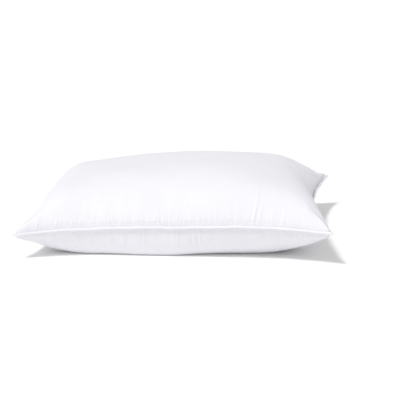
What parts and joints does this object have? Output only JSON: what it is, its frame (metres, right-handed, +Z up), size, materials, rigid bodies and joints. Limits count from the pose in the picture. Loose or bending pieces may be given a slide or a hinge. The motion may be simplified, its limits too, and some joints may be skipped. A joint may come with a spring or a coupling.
{
  "type": "bed pillow",
  "caption": "Rectangular bed pillow in plain white cloth with corded piping round its seam, pointed ears, a crowned top and a flat resting patch underneath.",
  "frame": {"origin": "on the floor under the middle of the pillow's outline, where the flat resting patch of the bottom panel lies", "axes": "+X along the pillow to its right-hand end, -Y to its front long side, +Z up through the crown"},
  "size_m": [0.7, 0.5, 0.176],
  "materials": {
    "percale": "matt plain-weave cotton with a faint sheen",
    "bias_tape": "matt plain weave cut on the bias",
    "cotton_cord": "matt unbleached twisted yarn",
    "fibre": "matt fluffy fibre mass",
    "thread": "soft satin spun thread",
    "satin": "satin ribbon"
  },
  "bodies": {
    "pillow": {"top_panel": "percale", "bottom_panel": "percale", "piping_tape": "bias_tape", "piping_cord": "cotton_cord", "fill": "fibre", "needle_thread": "thread", "bobbin_thread": "thread", "closing_stitches": "thread"},
    "label": {"care_label": "satin"}
  },
  "joints": [
    {"name": "label_swing", "type": "hinge", "parent": "pillow", "child": "label", "pos_m": [-0.12634, 0.21418, 0.0642], "axis": [0.9987, -0.0207, 0.0465], "range_deg": [0, 80]}
  ]
}
